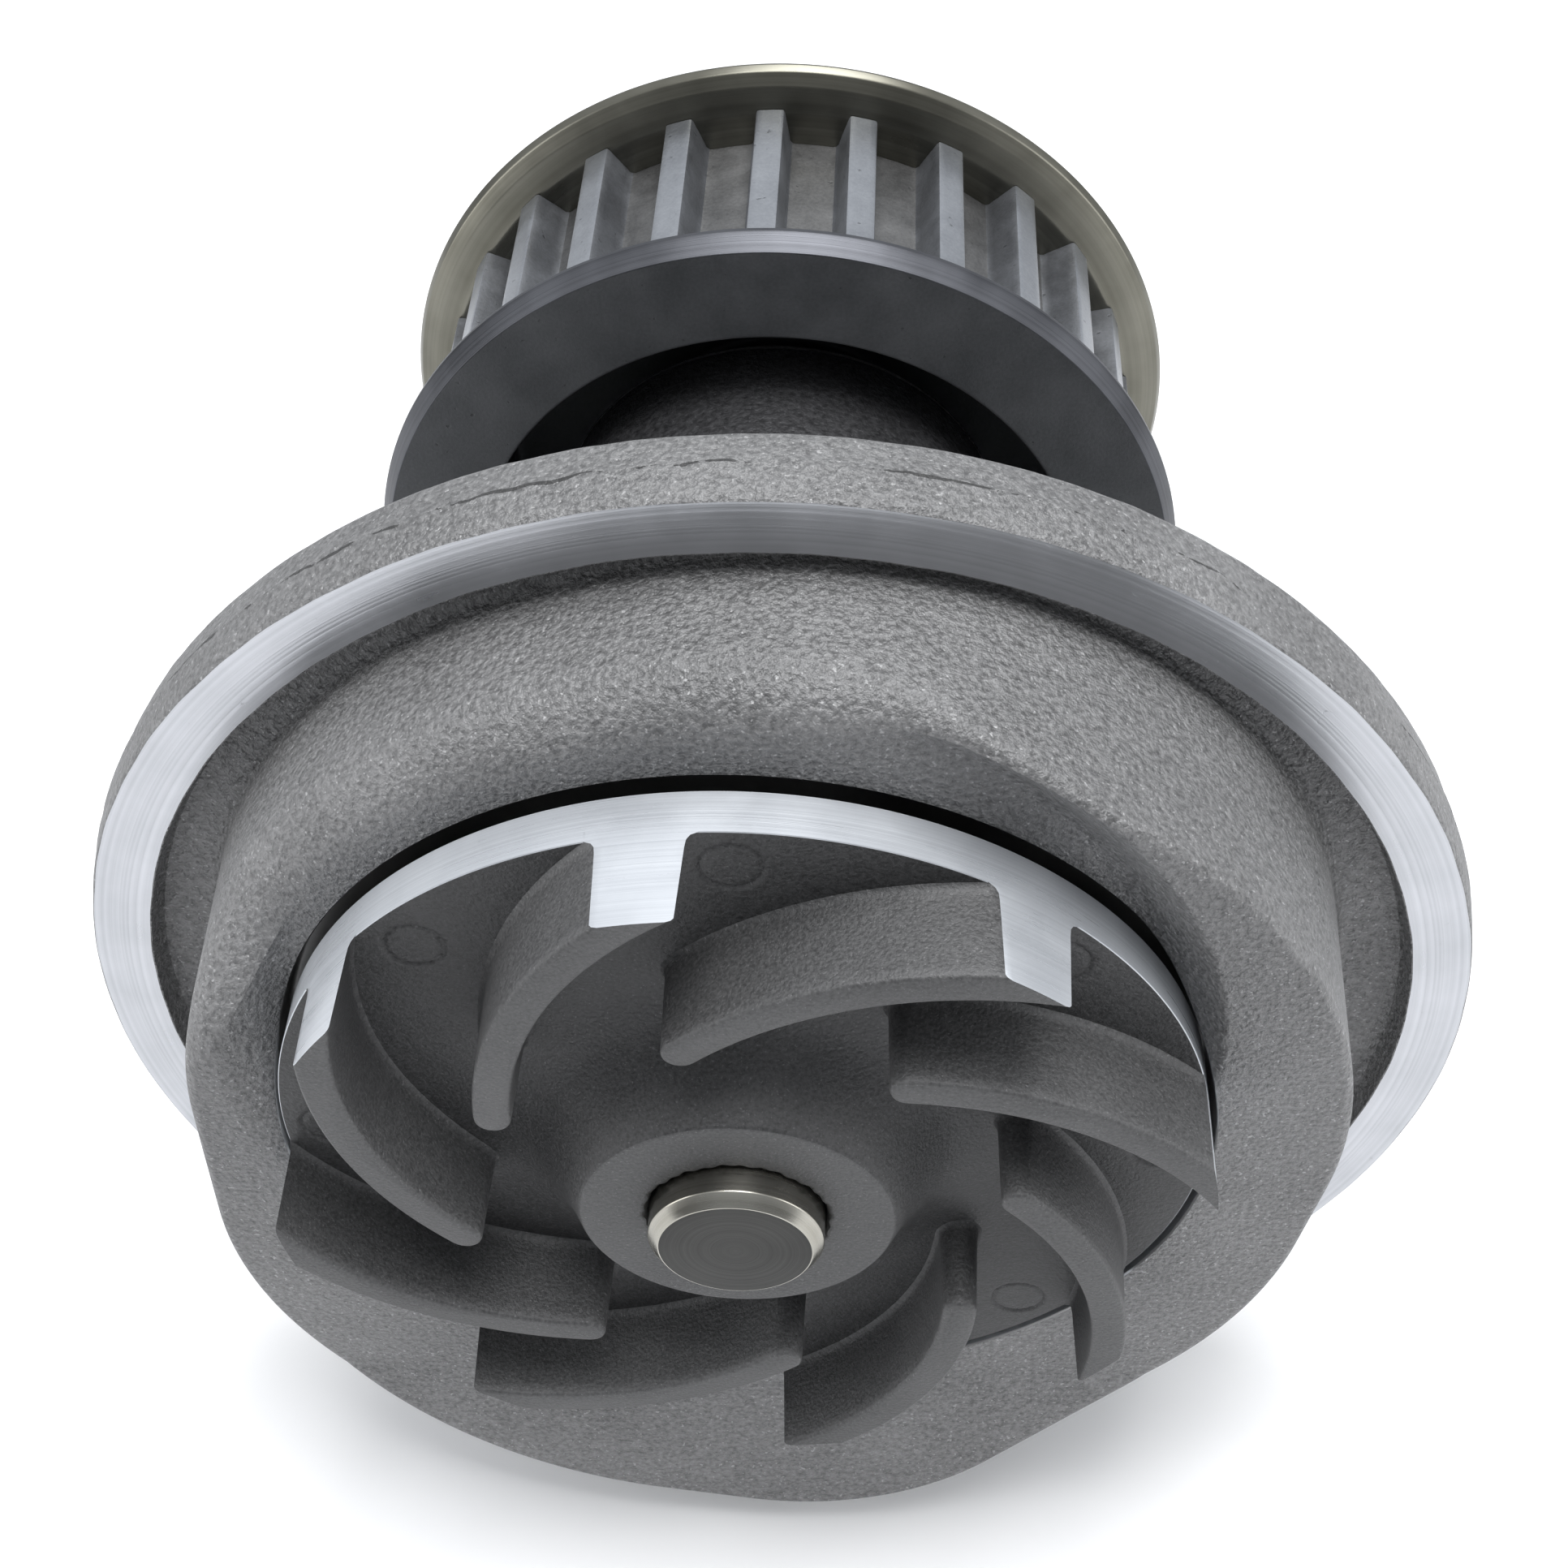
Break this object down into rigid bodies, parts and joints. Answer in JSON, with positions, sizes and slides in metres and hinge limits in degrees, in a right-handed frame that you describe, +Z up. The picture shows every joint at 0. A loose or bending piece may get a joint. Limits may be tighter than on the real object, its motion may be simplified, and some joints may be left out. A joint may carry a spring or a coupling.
{
  "type": "water pump",
  "caption": "Engine coolant pump driven by a toothed belt: cast body with an eccentric clamping flange, open bladed impeller, and a belt sprocket on the back of the shaft.",
  "frame": {"origin": "pump axis in the plane of the machined flange ring, which lies against the engine", "axes": "+Y along the shaft from the impeller towards the belt sprocket, +Z up towards the outlet scoop, +X to the right when looking at the impeller"},
  "size_m": [0.1026, 0.0925, 0.1026],
  "materials": {
    "cast_body": "sand-textured casting with machined faces",
    "cast_impeller": "dark grey die casting with a bright turned rim",
    "shaft_steel": "ground, lightly browned",
    "sintered_steel": "sintered grey steel",
    "pressed_steel": "pressed sheet, olive tint",
    "bearing_steel": "ground",
    "ball_steel": "polished",
    "cage_plastic": "natural nylon",
    "seal_rubber": "black moulded rubber",
    "seal_steel": "bright stainless sheet",
    "carbon": "lapped carbon graphite",
    "ceramic": "lapped ceramic",
    "seal_plastic": "moulded filter plug"
  },
  "bodies": {
    "housing": {"pump_body": "cast_body", "weep_plug": "seal_plastic", "bearing_outer_ring": "bearing_steel", "front_bearing_seal": "seal_rubber", "rear_bearing_seal": "seal_rubber", "seal_cup": "seal_steel", "seal_bellows": "seal_rubber", "seal_spring": "seal_steel", "seal_carbon_ring": "carbon"},
    "rotor": {"shaft": "shaft_steel", "slinger": "seal_rubber", "seal_ceramic_ring": "ceramic", "seal_seat_rubber": "seal_rubber", "seal_seat_sleeve": "seal_steel", "impeller": "cast_impeller", "drive_sprocket": "sintered_steel", "sprocket_flange": "pressed_steel"},
    "front_ball_set": {"front_balls": "ball_steel", "front_ball_cage": "cage_plastic"},
    "rear_ball_set": {"rear_balls": "ball_steel", "rear_ball_cage": "cage_plastic"}
  },
  "joints": [
    {"name": "shaft_spin", "type": "hinge", "parent": "housing", "child": "rotor", "pos_m": [0, 0, 0], "axis": [0, 1, 0], "continuous": true},
    {"name": "front_ball_set_spin", "type": "hinge", "parent": "housing", "child": "front_ball_set", "pos_m": [0, 0.0195, 0], "axis": [0, 1, 0], "continuous": true},
    {"name": "rear_ball_set_spin", "type": "hinge", "parent": "housing", "child": "rear_ball_set", "pos_m": [0, 0.0415, 0], "axis": [0, 1, 0], "continuous": true}
  ],
  "couplings": [
    {"joint": "front_ball_set_spin", "follows": "shaft_spin", "ratio": 0.3718},
    {"joint": "rear_ball_set_spin", "follows": "shaft_spin", "ratio": 0.3718}
  ]
}
